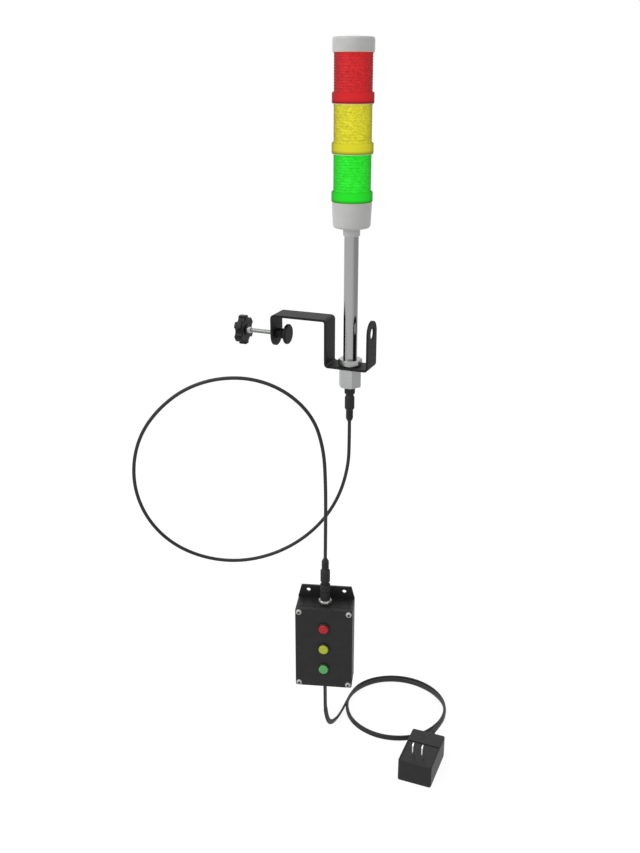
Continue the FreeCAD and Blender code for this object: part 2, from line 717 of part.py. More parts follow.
def makeBox():
    place = onBox("0", "0", "0")
    low = "-box_height"
    inner = "box_width/2 - box_wall"

    base = newBody("box_base", place)
    shell = newSketch(base, "XZ_Plane", "-box_depth/2")
    rectangle(shell, "-box_width/2", low, "box_width/2", "0")
    pad(base, shell, "box_depth - cover_depth - gasket_thickness")
    rounded(base, "box_corner", alongY)
    hollow = newSketch(base, "XZ_Plane", "-box_depth/2 + box_wall")
    rectangle(hollow, "-(%s)" % inner, low + " + box_wall", inner, "-box_wall")
    pocket(base, hollow, "box_depth", back=True)
    posts = newSketch(base, "XZ_Plane", "-box_depth/2 + box_wall/2")
    for across, up in SCREW_PLACES:
        circle(posts, across, up, "post_diameter/2")
    pad(base, posts, "box_depth - cover_depth - gasket_thickness - box_wall/2")
    boardPosts = newSketch(base, "XZ_Plane", "-box_depth/2 + box_wall/2")
    for across, up in BOARD_PLACES:
        circle(boardPosts, across, up, "board_post_diameter/2")
    pad(base, boardPosts, "box_depth/2 - box_wall/2 - %s" % BOARD_BACK)
    threads = newSketch(base, "XZ_Plane", "-%s" % SEAM)
    for across, up in SCREW_PLACES:
        circle(threads, across, up, "screw_diameter/2 + fit_gap")
    pocket(base, threads, "screw_length + cover_depth")
    for foot, tip in (("0", "flange_reach"), (low, low + " - flange_reach")):
        ear = newSketch(base, "XZ_Plane", "-box_depth/2")
        inset = "box_width/2 - flange_taper"
        edge = foot + (" - 1" if foot == "0" else " + 1")
        outline(ear, [("-box_width/2", edge), ("-box_width/2", foot), ("-(%s)" % inset, tip), (inset, tip),
                      ("box_width/2", foot), ("box_width/2", edge)])
        pad(base, ear, "flange_thickness")
    holes = newSketch(base, "XZ_Plane", "-box_depth/2")
    for side in ("-", ""):
        circle(holes, side + "flange_hole_spread/2", "flange_hole_reach", "flange_hole_diameter/2")
        circle(holes, side + "flange_hole_spread/2", low + " - flange_hole_reach", "flange_hole_diameter/2")
    pocket(base, holes, "4*flange_thickness", middle=True)
    entry = newSketch(base, "XY_Plane")
    circle(entry, "0", "0", "barrel_shank_diameter/2 + fit_gap")
    pocket(base, entry, "4*box_wall", middle=True)
    outlet = newSketch(base, "XY_Plane", low)
    circle(outlet, "0", "0", "power_lead_diameter/2 + 1")
    pocket(base, outlet, "4*box_wall", middle=True)

    cover = newBody("box_cover", place)
    face = newSketch(cover, "XZ_Plane", "-%s" % SEAM)
    rectangle(face, "-box_width/2", low, "box_width/2", "0")
    pad(cover, face, "cover_depth")
    rounded(cover, "box_corner", alongY)
    frontY = size(FRONT)
    rounded(cover, "box_corner/3", lambda edge, mid, run: near(mid.y, frontY))
    recess = newSketch(cover, "XZ_Plane", "-%s" % SEAM)
    rectangle(recess, "-(%s)" % inner, low + " + box_wall", inner, "-box_wall")
    pocket(cover, recess, "cover_depth - box_wall", back=True)
    bosses = newSketch(cover, "XZ_Plane", "-%s" % SEAM)
    for across, up in SCREW_PLACES:
        circle(bosses, across, up, "post_diameter/2")
    pad(cover, bosses, "cover_depth - box_wall/2")
    bores = newSketch(cover, "XZ_Plane", "-%s" % SEAM)
    for across, up in SCREW_PLACES:
        circle(bores, across, up, "screw_diameter/2 + hole_gap")
    for number in (-1, 0, 1):
        circle(bores, "0", "-button_drop + %d*button_pitch" % number, "(button_diameter/2 + 2*fit_gap + bezel_wall)")
    pocket(cover, bores, "4*cover_depth", middle=True)

    gasket = newBody("cover_gasket", place)
    strip = newSketch(gasket, "XZ_Plane", "-%s - gasket_thickness" % SEAM)
    rectangle(strip, "-box_width/2 + 0.4", low + " + 0.4", "box_width/2 - 0.4", "-0.4")
    pad(gasket, strip, "gasket_thickness")
    window = newSketch(gasket, "XZ_Plane", "-%s - gasket_thickness" % SEAM)
    inside = "(box_width/2 - box_wall)"
    rectangle(window, "-" + inside, low + " + box_wall", inside, "-box_wall")
    pocket(gasket, window, "4*gasket_thickness", middle=True)
    eyelets = newSketch(gasket, "XZ_Plane", "-%s - gasket_thickness" % SEAM)
    for across, up in SCREW_PLACES:
        circle(eyelets, across, up, "post_diameter/2")
    pad(gasket, eyelets, "gasket_thickness")
    corners = newSketch(gasket, "XZ_Plane", "-%s - gasket_thickness" % SEAM)
    for across, up in SCREW_PLACES:
        circle(corners, across, up, "screw_diameter/2 + hole_gap + 0.4")
    pocket(gasket, corners, "4*gasket_thickness", middle=True)

    makeScrews()
    makeBoard()
    for number, colour in ((1, "red"), (0, "yellow"), (-1, "green")):
        makeButton(colour, "(-button_drop + %d*button_pitch)" % number)
    makeSwitches()

    over = Rotation(Vector(1, 0, 0), 180)
    hole = "barrel_shank_diameter/2 + fit_gap"
    washer = newBody("socket_gasket", place)
    rim = "socket_gasket_diameter/2"
    turned(washer, [(hole, "0"), (rim, "0"), (rim, "socket_gasket_height"), (hole, "socket_gasket_height")])
    hexBlock("box_socket_nut", "socket_nut_flats", "socket_nut_height", hole,
             onBox("0", "0", "socket_gasket_height"), 0, "socket_nut_chamfer")
    makeSocket("box_socket", onBox("0", "0", SOCKET_SEAT + " + socket_body_length", over),
               "(%s + socket_body_length + box_wall + socket_reach)" % SOCKET_SEAT, "0", "socket_body_length")
    makePlug("lower", onBox("0", "0", SOCKET_SEAT + " + socket_body_length", over))

    grommet = newBody("box_grommet", onBox("0", "0", low))
    end = "grommet_end_diameter/2"
    turned(grommet, [
        ("0", "0"), ("grommet_diameter/2", "0"), ("grommet_diameter/2", "-grommet_flange"),
        (end + " + 1", "-grommet_flange"), (end, "-grommet_length"), ("0", "-grommet_length")])


def makeScrews():
    screws = []
    head = size("screw_head_diameter/2")
    for across, up in SCREW_PLACES:
        dome = Part.makeCylinder(head, size("screw_head_height"))
        dome = dome.makeFillet(size("screw_head_height") * 0.55, [dome.Edges[0]])
        shank = Part.makeCylinder(size("screw_diameter/2"), size("screw_length"), Vector(0, 0, -size("screw_length")))
        socket = Part.makeCylinder(size("screw_socket_diameter/2"), size("screw_head_height*0.6"),
                                   Vector(0, 0, size("screw_head_height*0.4")))
        screw = dome.fuse(shank).cut(socket).removeSplitter()
        screw.Placement = Placement(Vector(size(across), size(FRONT), size(up)), Rotation(Vector(1, 0, 0), 90))
        screws.append(screw)
    group("cover_screws", screws, onBox("0", "0", "0"))


def makeBoard():
    board = doc.addObject("Part::Box", "control_board")
    board.Label = "control_board"
    board.setExpression("Length", linked("box_width - 2*board_margin"))
    board.setExpression("Width", linked("board_thickness"))
    board.setExpression("Height", linked("box_height - 2*board_margin"))
    board.Placement = onBox("board_margin - box_width/2", BOARD_BACK + " - board_thickness", "board_margin - box_height")
    parts.append(board)


def makeButton(colour, up):
    """A spring-return push button: its bezel, screwed into the cover, and its cap with a stem."""
    forward = Rotation(Vector(1, 0, 0), 90)
    bore = "(button_diameter/2 + fit_gap)"
    shank = "(button_diameter/2 + fit_gap + bezel_wall)"
    bezel = newBody("button_bezel_" + colour, onBox("0", FRONT, up, forward))
    turned(bezel, [
        (bore, "-bezel_length"), (shank, "-bezel_length"), (shank, "0"), ("bezel_diameter/2", "0"),
        ("bezel_diameter/2", "bezel_proud - 0.8"), ("bezel_diameter/2 - 0.8", "bezel_proud"),
        (bore, "bezel_proud")])
    cap = newBody("button_cap_" + colour, onBox("0", FRONT, up, forward))
    back = "(button_proud - button_length)"
    capR = "button_diameter/2"
    turned(cap, [
        ("0", back + " - stem_length"), ("stem_diameter/2", back + " - stem_length"), ("stem_diameter/2", back),
        (capR, back), (capR, "button_proud - button_dome"), (capR + " - button_dome", "button_proud"),
        ("0", "button_proud")])


def makeSwitches():
    nuts = []
    bodies = []
    half = size("switch_size/2")
    for number in (1, 0, -1):
        up = size("-button_drop + %d*button_pitch" % number)
        nutFoot = Vector(0, size(FRONT + " + box_wall"), up)
        shank = size("button_diameter/2 + fit_gap + bezel_wall")
        ring = Part.makeCylinder(size("button_nut_diameter/2"), size("button_nut_thickness"), nutFoot, Vector(0, 1, 0))
        nuts.append(ring.cut(Part.makeCylinder(shank + size("fit_gap"), size("button_nut_thickness"), nutFoot,
                                               Vector(0, 1, 0))))
        foot = Vector(-half, size(FRONT + " + bezel_length"), up - half)
        block = Part.makeBox(2 * half, size("switch_depth"), 2 * half, foot)
        stem = Part.makeCylinder(size("stem_diameter/2 + fit_gap"), size("switch_depth") * 0.8,
                                 Vector(0, foot.y, up), Vector(0, 1, 0))
        bodies.append(block.cut(stem))
    group("button_nuts", nuts, onBox("0", "0", "0"))
    group("switch_bodies", bodies, onBox("0", "0", "0"))


# ---- wall adapter ----

def onAdapter(across, out, up, turn=None):
    """A place in the adapter's own frame: middle of its underside, -Y to its front."""
    foot = Vector(size("adapter_across"), size("-adapter_out"), size("-floor_drop"))
    return Placement(foot + Vector(size(across), size(out), size(up)), turn or Rotation())


def makeAdapter():
    halfW = "adapter_width/2"
    halfL = "adapter_length/2"
    wall = "adapter_wall"
    shells = (("adapter_lower", "0", "adapter_split", False),
              ("adapter_upper", "adapter_split", "adapter_height - adapter_split", True))
    for label, foot, height, isTop in shells:
        shell = newBody(label, onAdapter("0", "0", foot))
        block = newSketch(shell, "XY_Plane")
        rectangle(block, "-" + halfW, "-" + halfL, halfW, halfL)
        pad(shell, block, height)
        rounded(shell, "adapter_corner",
                lambda edge, mid, run: abs(run.z) > 1 and abs(run.x) < 0.01 and abs(run.y) < 0.01)
        rim = size(height) if isTop else 0.0
        rounded(shell, "adapter_corner*0.6", lambda edge, mid, run: near(mid.z, rim) and abs(run.z) < 0.01)
        hollow = newSketch(shell, "XY_Plane", "0" if isTop else wall)
        rectangle(hollow, "-%s + %s" % (halfW, wall), "-%s + %s" % (halfL, wall),
                  "%s - %s" % (halfW, wall), "%s - %s" % (halfL, wall))
        pocket(shell, hollow, "%s - %s" % (height, wall) if isTop else height, back=True)
        if isTop:
            window = newSketch(shell, "XY_Plane", height)
            rectangle(window, "-%s + carrier_lip" % halfW, "-%s + carrier_lip" % halfL,
                      halfW + " - carrier_lip", "-%s + carrier_lip + carrier_length" % halfL)
            pocket(shell, window, "carrier_step + 0.6")
            opening = newSketch(shell, "XY_Plane", height)
            rectangle(opening, "-%s + 2*carrier_lip" % halfW, "-%s + 2*carrier_lip" % halfL,
                      halfW + " - 2*carrier_lip", "-%s + carrier_length" % halfL)
            pocket(shell, opening, "2*adapter_wall")

    carrier = newBody("blade_carrier", onAdapter("0", "0", "adapter_height - carrier_step"))
    plate = newSketch(carrier, "XY_Plane")
    rectangle(plate, "-%s + carrier_lip + fit_gap" % halfW, "-%s + carrier_lip + fit_gap" % halfL,
              halfW + " - carrier_lip - fit_gap", "-%s + carrier_lip + carrier_length - fit_gap" % halfL)
    pad(carrier, plate, "0.6", back=True)
    plugIn = newSketch(carrier, "XY_Plane")
    rectangle(plugIn, "-%s + 2*carrier_lip + fit_gap" % halfW, "-%s + 2*carrier_lip + fit_gap" % halfL,
              halfW + " - 2*carrier_lip - fit_gap", "-%s + carrier_length - fit_gap" % halfL)
    pad(carrier, plugIn, "carrier_thickness", back=True)
    slots = newSketch(carrier, "XY_Plane")
    bladeY = "(-adapter_length/2 + blade_place)"
    for side in (-1, 1):
        middle = "%d*blade_spacing/2" % side
        rectangle(slots, middle + " - blade_thickness/2", bladeY + " - blade_width/2",
                  middle + " + blade_thickness/2", bladeY + " + blade_width/2")
    pocket(carrier, slots, "4*carrier_thickness", middle=True)

    blades = []
    foot = size("adapter_height - carrier_step - carrier_thickness")
    length = size("carrier_thickness + blade_reach")
    for side in (-1, 1):
        corner = Vector(size("%d*blade_spacing/2 - blade_thickness/2" % side),
                        size(bladeY + " - blade_width/2"), foot)
        blade = Part.makeBox(size("blade_thickness"), size("blade_width"), length, corner)
        top = [i for i, edge in enumerate(blade.Edges)
               if near(edge.CenterOfMass.z, foot + length) and abs(edge.Vertexes[1].X - edge.Vertexes[0].X) > 0.5]
        blades.append(blade.makeChamfer(size("blade_tip"), [blade.Edges[i] for i in top]))
    group("mains_blades", blades, onAdapter("0", "0", "0"))

    board = doc.addObject("Part::Box", "adapter_board")
    board.Label = "adapter_board"
    board.setExpression("Length", linked("adapter_width - 2*adapter_wall - 1"))
    board.setExpression("Width", linked("adapter_length - 2*adapter_wall - 1"))
    board.setExpression("Height", linked("adapter_board_height - adapter_wall"))
    board.Placement = onAdapter("-adapter_width/2 + adapter_wall + 0.5", "-adapter_length/2 + adapter_wall + 0.5", wall)
    parts.append(board)

    relief = newBody("adapter_relief", onAdapter("0", halfL, "adapter_exit_height", Rotation(Vector(1, 0, 0), -90)))
    wide = "adapter_relief_diameter/2"
    end = "adapter_relief_end/2"
    turned(relief, [("0", "0"), (wide + " + 1", "0"), (wide + " + 1", "1.6"), (wide, "1.6"),
                    (end, "adapter_relief_length"), ("0", "adapter_relief_length")])


# ---- leads: straight runs joined by tangent arcs through hand-placed points ----

SIGNAL_ROUTE = [
    (66, 0, -133), (66.2, 0, -160), (65.6, -1, -199), (55, -7, -243), (34, -19, -281), (3, -34, -311),
    (-33, -53, -329), (-73, -73, -335), (-113, -93, -326), (-147, -112, -303), (-172, -126, -268),
    (-184, -135, -225), (-182, -139, -180), (-168, -138, -137), (-142, -132, -101), (-108, -122, -73),
    (-67, -110, -58), (-24, -96, -58), (16, -84, -75), (46, -74, -108), (58, -70.6, -151),
    (60.2, -70, -197), (60.5, -70, -243), (60, -70, -308)]

POWER_ROUTE = [
    (60, -70, -498), (60, -70.4, -518), (60, -70.6, -546), (60, -60, -574), (62, -36.5, -582.8),
    (62.6, -6, -582.8), (60.5, 21.5, -582.8), (65.5, 49.5, -582.8), (81.5, 72.5, -582.8), (105, 88.5, -582.8),
    (132.5, 95, -582.8), (160.5, 91, -582.8), (185, 76.5, -582.8), (201.5, 53.5, -582.8), (207.5, 25.5, -582.8),
    (203, -2, -582.8), (187, -26, -582.8), (164, -41.5, -582.8), (136, -48, -582.8), (108, -43, -582.8),
    (84, -28.5, -582.8), (69.5, -4.5, -582.8), (65.5, 22.5, -582.8), (72, 50, -582.8), (89, 72.5, -582.8),
    (114, 86, -582.8), (142, 89, -582.8), (169.5, 81, -582), (190.5, 64, -579), (204.5, 40, -573.2),
    (207, 12, -571.2), (206.4, -14, -570.6), (206.5, -30.2, -570.3)]


def makeLead(label, route, diameter, start, finish):
    """A plain round tube along the route; the ends are taken from the pieces they meet."""
    points = [Vector(*start)] + [Vector(*point) for point in route[1:-1]] + [Vector(*finish)]
    edges = []
    radii = []
    last = points[0]
    for before, corner, after in zip(points, points[1:], points[2:]):
        into = (corner - before).normalize()
        away = (after - corner).normalize()
        half = into.getAngle(away) / 2
        reach = 0.45 * min((corner - before).Length, (after - corner).Length)
        radii.append(reach / math.tan(half))
        enter = corner - into * reach
        leave = corner + away * reach
        inward = (away - into).normalize()
        middle = corner + inward * (radii[-1] * (1 / math.cos(half) - 1))
        edges.append(Part.LineSegment(last, enter).toShape())
        edges.append(Part.Arc(enter, middle, leave).toShape())
        last = leave
    edges.append(Part.LineSegment(last, points[-1]).toShape())
    path = Part.Wire(edges)
    radius = size(diameter) / 2
    profile = Part.Wire([Part.makeCircle(radius, points[0], (points[1] - points[0]).normalize())])
    tube = path.makePipeShell([profile], True, False)
    expected = math.pi * radius ** 2 * path.Length
    print(label, "from", [round(value, 2) for value in start], "to", [round(value, 2) for value in finish])
    print(label, "length", round(path.Length, 1), "volume ratio", round(tube.Volume / expected, 4),
          "radii", [round(value) for value in radii])
    if abs(tube.Volume / expected - 1) > 0.01:
        raise RuntimeError("the tube of " + label + " does not match its path")
    feature = doc.addObject("Part::Feature", label)
    feature.Shape = tube
    feature.Label = label
    parts.append(feature)


def makeLeads():
    plug = "(plug_grip_start + plug_grip_length + plug_shoulder + relief_length + relief_taper)"
    top = onPole(COUPLING_BOTTOM + " - " + plug).Base
    entry = onBox("0", "0", SOCKET_SEAT + " + socket_body_length + " + plug).Base
    makeLead("signal_lead", SIGNAL_ROUTE, "lead_diameter", top, entry)
    outlet = onBox("0", "0", "-box_height - grommet_length").Base
    relief = onAdapter("0", "adapter_length/2 + adapter_relief_length", "adapter_exit_height").Base
    makeLead("power_lead", POWER_ROUTE, "power_lead_diameter", outlet, relief)


makeBracket()
makeClamp()
makePole()
makeLamp()
makePlug("upper", onPole(COUPLING_BOTTOM))
makeBox()
makeAdapter()
makeLeads()
doc.recompute()

# ---- checks and files ----

for thing in doc.Objects:
    if "Invalid" in thing.State or "Error" in thing.State:
        raise RuntimeError("%s did not build: %s" % (thing.Label, thing.State))
os.makedirs("parts", exist_ok=True)
for piece in parts:
    if piece.Shape.isNull() or not piece.Shape.isValid():
        raise RuntimeError("%s has no valid shape" % piece.Label)
    piece.Shape.exportStep("parts/%s.step" % piece.Label)
print(len(parts), "nodes")
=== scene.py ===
import json
import math
import bmesh
import bpy
from mathutils import Matrix, Vector


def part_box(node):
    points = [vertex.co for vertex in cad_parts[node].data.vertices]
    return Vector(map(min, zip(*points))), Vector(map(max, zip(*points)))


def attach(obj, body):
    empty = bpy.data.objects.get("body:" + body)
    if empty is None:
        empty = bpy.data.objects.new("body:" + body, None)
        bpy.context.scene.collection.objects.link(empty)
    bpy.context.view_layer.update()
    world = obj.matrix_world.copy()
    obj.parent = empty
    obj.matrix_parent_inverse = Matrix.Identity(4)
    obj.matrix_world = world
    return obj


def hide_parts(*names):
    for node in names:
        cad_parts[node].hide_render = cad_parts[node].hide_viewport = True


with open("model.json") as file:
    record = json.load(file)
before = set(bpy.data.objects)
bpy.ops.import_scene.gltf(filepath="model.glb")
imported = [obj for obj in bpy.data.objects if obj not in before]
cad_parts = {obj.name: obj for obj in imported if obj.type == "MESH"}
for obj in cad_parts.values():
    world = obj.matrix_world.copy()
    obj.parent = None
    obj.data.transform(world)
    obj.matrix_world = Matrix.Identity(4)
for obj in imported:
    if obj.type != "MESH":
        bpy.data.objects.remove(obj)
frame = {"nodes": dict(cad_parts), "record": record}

mm = 0.001
scene = bpy.context.scene
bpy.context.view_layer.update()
print("frame loaded,", len(frame["nodes"]), "nodes")


camera = {
    "place": (470.5, -1104.6, 299.3),  # mm
    "tilt": 69.42,  # degrees from straight down
    "turn": 22.0,  # degrees, to the left
    "lens": 53.467,
    "sensor": 36.0,
}

studio = {
    "floorHeight": -586.2,  # mm, just under the adapter
    "floorSize": 60.0,  # m
    "floorColour": "#e6e6e6",  # of the light that the floor throws back on the object
    "shadeColour": "#777777",  # of the floor that the eye sees, so that a shadow still falls on it
    "floorGlow": 0.90,  # what the eye sees of the floor before the lamps add to it
    "fadeWay": (0.7, 0.65, 0),  # gloss sees the floor grow darker to the right and away
    "fadeStart": -0.2,  # m that way
    "fadeEnd": 1.9,
    "fadeLevel": 0.52,
    "roomLevel": 0.60,  # of the pale room, as matte surfaces get it
    "softboxStart": 0.25,  # height in the sky, 0 at the horizon and 1 overhead
    "softboxEnd": 0.90,
    "ceilingLevel": 1.6,  # the softbox right overhead, as gloss sees it
    "rightLevel": 0.62,  # what gloss sees to the right of the object
    "keyPlace": (-1.6, -2.0, 2.2),  # m
    "keySize": 3.2,
    "keyPower": 46.0,  # W
    "aim": (0.05, 0.0, -0.1),
}


def linear(channel):
    return channel / 12.92 if channel <= 0.04045 else ((channel + 0.055) / 1.055) ** 2.4


def colour(hexText, alpha=1.0):
    value = hexText.lstrip("#")
    return tuple(linear(int(value[i:i + 2], 16) / 255) for i in (0, 2, 4)) + (alpha,)


def addNode(tree, kind, settings=None, links=None):
    node = tree.nodes.new(kind)
    for name, value in (settings or {}).items():
        if isinstance(name, int) or name in node.inputs:
            node.inputs[name].default_value = value
        else:
            setattr(node, name, value)
    for name, source in (links or {}).items():
        tree.links.new(source, node.inputs[name])
    return node


def makeCamera():
    data = bpy.data.cameras.new("studioCamera")
    data.lens = camera["lens"]
    data.sensor_fit = "HORIZONTAL"
    data.sensor_width = camera["sensor"]
    data.clip_end = 50
    obj = bpy.data.objects.new("studioCamera", data)
    obj.location = Vector(camera["place"]) * mm
    obj.rotation_euler = (math.radians(camera["tilt"]), 0, math.radians(camera["turn"]))
    scene.collection.objects.link(obj)
    scene.camera = obj


def larger(tree, first, second):
    return addNode(tree, "ShaderNodeMath", {"operation": "MAXIMUM"}, {0: first, 1: second}).outputs[0]


def makeWorld():
    world = bpy.data.worlds.new("paleRoom")
    world.use_nodes = True
    tree = world.node_tree
    tree.nodes.clear()
    path = addNode(tree, "ShaderNodeLightPath").outputs
    direction = addNode(tree, "ShaderNodeTexCoord")
    parts = addNode(tree, "ShaderNodeSeparateXYZ", None, {0: direction.outputs["Generated"]})
    # gloss sees white up to a little above the horizon, then a softbox that is brightest overhead
    softbox = addNode(tree, "ShaderNodeMapRange",
                      {"From Min": studio["softboxStart"], "From Max": studio["softboxEnd"],
                       "To Min": 1.0, "To Max": studio["ceilingLevel"]}, {0: parts.outputs["Z"]})
    sideways = addNode(tree, "ShaderNodeMapRange",
                       {"From Min": -0.2, "From Max": 0.8, "To Min": 1.0, "To Max": studio["rightLevel"]},
                       {0: parts.outputs["X"]})
    reflected = addNode(tree, "ShaderNodeMath", {"operation": "MULTIPLY"},
                        {0: softbox.outputs[0], 1: sideways.outputs[0]})
    hidden = addNode(tree, "ShaderNodeMix", {"data_type": "FLOAT", 2: studio["roomLevel"]},
                     {0: path["Is Glossy Ray"], 3: reflected.outputs[0]})
    # the eye sees plain white, also through clear things
    seen = larger(tree, path["Is Camera Ray"], path["Is Transmission Ray"])
    strength = addNode(tree, "ShaderNodeMix", {"data_type": "FLOAT", 3: 1.0}, {0: seen, 2: hidden.outputs[0]})
    background = addNode(tree, "ShaderNodeBackground", {"Color": (1, 1, 1, 1)},
                         {"Strength": strength.outputs[0]})
    addNode(tree, "ShaderNodeOutputWorld", None, {"Surface": background.outputs[0]})
    scene.world = world


def whitePaper():
    # matte paper that lights the object, while the eye and gloss see it glow nearly white, with its shadow
    paper = bpy.data.materials.new("whitePaper")
    paper.use_nodes = True
    tree = paper.node_tree
    tree.nodes.clear()
    path = addNode(tree, "ShaderNodeLightPath").outputs
    mirrored = larger(tree, path["Is Glossy Ray"], path["Is Transmission Ray"])
    seen = larger(tree, path["Is Camera Ray"], mirrored)
    matte = addNode(tree, "ShaderNodeBsdfDiffuse", {"Color": colour(studio["floorColour"])})
    shade = addNode(tree, "ShaderNodeBsdfDiffuse", {"Color": colour(studio["shadeColour"])})
    place = addNode(tree, "ShaderNodeTexCoord")
    along = addNode(tree, "ShaderNodeVectorMath", {"operation": "DOT_PRODUCT", 1: studio["fadeWay"]},
                    {0: place.outputs["Object"]})
    fade = addNode(tree, "ShaderNodeMapRange",
                   {"From Min": studio["fadeStart"], "From Max": studio["fadeEnd"],
                    "To Min": 1.0, "To Max": studio["fadeLevel"]}, {0: along.outputs["Value"]})
    level = addNode(tree, "ShaderNodeMath", {"operation": "MULTIPLY", 1: studio["floorGlow"]},
                    {0: larger(tree, fade.outputs[0], path["Is Camera Ray"])})
    glow = addNode(tree, "ShaderNodeEmission", None, {"Strength": level.outputs[0]})
    both = addNode(tree, "ShaderNodeAddShader", None, {0: shade.outputs[0], 1: glow.outputs[0]})
    mix = addNode(tree, "ShaderNodeMixShader", None, {0: seen, 1: matte.outputs[0], 2: both.outputs[0]})
    addNode(tree, "ShaderNodeOutputMaterial", None, {"Surface": mix.outputs[0]})
    return paper


def makeFloor():
    half = studio["floorSize"] / 2
    height = studio["floorHeight"] * mm
    mesh = bpy.data.meshes.new("studioFloor")
    corners = [(x * half, y * half, height) for x, y in ((-1, -1), (1, -1), (1, 1), (-1, 1))]
    mesh.from_pydata(corners, [], [(0, 1, 2, 3)])
    floor = bpy.data.objects.new("studioFloor", mesh)
    scene.collection.objects.link(floor)
    mesh.materials.append(whitePaper())


def makeKey():
    data = bpy.data.lights.new("softKey", "AREA")
    data.shape = "DISK"
    data.size = studio["keySize"]
    data.energy = studio["keyPower"]
    key = bpy.data.objects.new("softKey", data)
    key.location = studio["keyPlace"]
    key.rotation_euler = (Vector(studio["aim"]) - key.location).to_track_quat("-Z", "Y").to_euler()
    scene.collection.objects.link(key)


makeCamera()
makeWorld()
makeFloor()
makeKey()
scene.view_settings.view_transform = "Standard"
print("camera and studio done")


def newMaterial(name, base, roughness, metallic=0.0, **more):
    material = bpy.data.materials.new(name)
    material.use_nodes = True
    tree = material.node_tree
    shader = tree.nodes["Principled BSDF"]
    shader.inputs["Base Color"].default_value = colour(base)
    shader.inputs["Roughness"].default_value = roughness
    shader.inputs["Metallic"].default_value = metallic
    for name, value in more.items():
        shader.inputs[name.replace("_", " ")].default_value = value
    return material, tree, shader


def objectPoint(tree, scale=(1, 1, 1), shift=(0, 0, 0)):
    place = addNode(tree, "ShaderNodeTexCoord")
    return addNode(tree, "ShaderNodeMapping", {"Scale": scale, "Location": shift},
                   {"Vector": place.outputs["Object"]}).outputs[0]


def surfaceNoise(tree, size, detail, point=None):
    # size in mm
    return addNode(tree, "ShaderNodeTexNoise", {"Scale": 1 / (size * mm), "Detail": detail},
                   {"Vector": point or objectPoint(tree)})


def surfaceGrain(tree, shader, size, depth, detail=2.0, stretch=(1, 1, 1)):
    # size and depth in mm
    noise = surfaceNoise(tree, size, detail, objectPoint(tree, stretch))
    bump = addNode(tree, "ShaderNodeBump", {"Strength": 1.0, "Distance": depth * mm},
                   {"Height": noise.outputs[0]})
    tree.links.new(bump.outputs[0], shader.inputs["Normal"])
    return noise


def twoTone(tree, source, light, dark, low=0.35, high=0.65):
    ramp = addNode(tree, "ShaderNodeMapRange", {"From Min": low, "From Max": high}, {0: source})
    return addNode(tree, "ShaderNodeMix", {"data_type": "RGBA", 6: colour(light), 7: colour(dark)},
                   {0: ramp.outputs[0]}).outputs[2]


def grained(name, base, metallic, grain, gloss, stretch=(1, 1, 1), tones=None, **more):
    # grain holds the size, the depth and the detail, gloss the least and most roughness,
    # and tones the size and detail of a slow change of colour with its two colours
    material, tree, shader = newMaterial(name, base, sum(gloss) / 2, metallic, **more)
    noise = surfaceGrain(tree, shader, *grain, stretch=stretch)
    ramp = addNode(tree, "ShaderNodeMapRange", {"To Min": gloss[0], "To Max": gloss[1]},
                   {0: noise.outputs[0]})
    tree.links.new(ramp.outputs[0], shader.inputs["Roughness"])
    if tones:
        size, detail, light, dark = tones
        cloud = surfaceNoise(tree, size, detail)
        tree.links.new(twoTone(tree, cloud.outputs[0], light, dark), shader.inputs["Base Color"])
    return material


lens = {
    "axis": 66,  # mm along X, the middle of the column
    "flutes": 52,  # inside the wall, 2.8 mm apart
    "ribPitch": 3.15,
    "ringStart": 23.6,  # the smooth ring at the foot stands outside this radius
    "latticeShare": 0.18,  # of the flutes and ribs beside the clouding
    "clouding": 3,  # mm, coarser than the real speckle, so that it shows
    "glow": 1.1,  # painted glow: the tier's colour is also emitted at this strength, standing in for light it gathers from the room
    "paintedShadeHeight": 4,  # painted shade: the tier's colour and glow grow darker over this height towards its foot, above the seal
    "paintedShadeLevel": 0.36,
    "dyes": {  # light and dark of the fluted wall, and the ring
        "red": ("#d62c2e", "#a62226", "#c4262a"),
        "yellow": ("#e2da34", "#b4ae26", "#ccc62a"),
        "green": ("#32ea34", "#22c226", "#24d228"),
    },
}


def latticeOf(tree, parts):
    # the flutes crossed by the outer ribs, as waves round and up the wall
    angle = addNode(tree, "ShaderNodeMath", {"operation": "ARCTAN2"},
                    {0: parts.outputs["Y"], 1: parts.outputs["X"]})
    waves = []
    for source, pace in ((angle.outputs[0], lens["flutes"]),
                         (parts.outputs["Z"], 2 * math.pi / (lens["ribPitch"] * mm))):
        phase = addNode(tree, "ShaderNodeMath", {"operation": "MULTIPLY", 1: pace}, {0: source})
        waves.append(addNode(tree, "ShaderNodeMath", {"operation": "SINE"}, {0: phase.outputs[0]}).outputs[0])
    return addNode(tree, "ShaderNodeMath", {"operation": "MULTIPLY"}, {0: waves[0], 1: waves[1]}).outputs[0]


